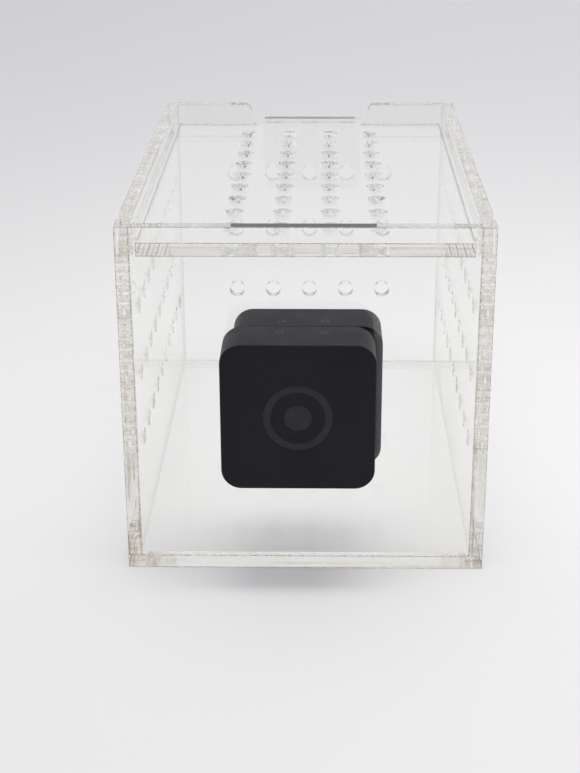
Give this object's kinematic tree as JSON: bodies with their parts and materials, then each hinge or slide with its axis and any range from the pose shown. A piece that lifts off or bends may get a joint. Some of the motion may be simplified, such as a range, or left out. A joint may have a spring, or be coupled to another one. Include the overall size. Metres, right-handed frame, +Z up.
{
  "type": "aquarium isolation box",
  "caption": "Clear acrylic aquarium isolation box with a hinged perforated lid, water holes in its walls and a pair of square magnet grips that hang it on a glass pane.",
  "frame": {"origin": "centre of the base panel's underside", "axes": "+Z up, +Y from the front panel, which carries the magnet grips, to the back panel, +X to the right seen from the front"},
  "size_m": [0.12, 0.2086, 0.12],
  "materials": {
    "clear_acrylic": "clear cast sheet, glossy faces and sawn or laser-cut edges",
    "black_plastic": "moulded black plastic, satin",
    "rubber_pad": "thin soft pad",
    "zinc_steel": "zinc-plated steel",
    "nickel_magnet": "nickel-plated magnet",
    "epoxy": "cast black epoxy"
  },
  "bodies": {
    "box": {"base_panel": "clear_acrylic", "left_side_panel": "clear_acrylic", "right_side_panel": "clear_acrylic", "front_panel": "clear_acrylic", "back_panel": "clear_acrylic"},
    "lid": {"lid": "clear_acrylic"},
    "outer_grip": {"outer_grip_housing": "black_plastic", "outer_grip_pad": "rubber_pad", "outer_grip_cover": "black_plastic", "outer_grip_keeper_plate": "zinc_steel", "outer_grip_left_magnet": "nickel_magnet", "outer_grip_right_magnet": "nickel_magnet", "outer_grip_potting": "epoxy"},
    "inner_grip": {"inner_grip_housing": "black_plastic", "inner_grip_pad": "rubber_pad", "inner_grip_cover": "black_plastic", "inner_grip_keeper_plate": "zinc_steel", "inner_grip_left_magnet": "nickel_magnet", "inner_grip_right_magnet": "nickel_magnet", "inner_grip_potting": "epoxy"}
  },
  "joints": [
    {"name": "lid_hinge", "type": "hinge", "parent": "box", "child": "lid", "pos_m": [0, -0.08075, 0.11075], "axis": [1, 0, 0], "range_deg": [0, 119]},
    {"name": "outer_grip_pull", "type": "slide", "parent": "box", "child": "outer_grip", "axis": [0, -1, 0], "range_m": [0, 0.06]},
    {"name": "inner_grip_pull", "type": "slide", "parent": "box", "child": "inner_grip", "axis": [0, 1, 0], "range_m": [0, 0.1]}
  ]
}
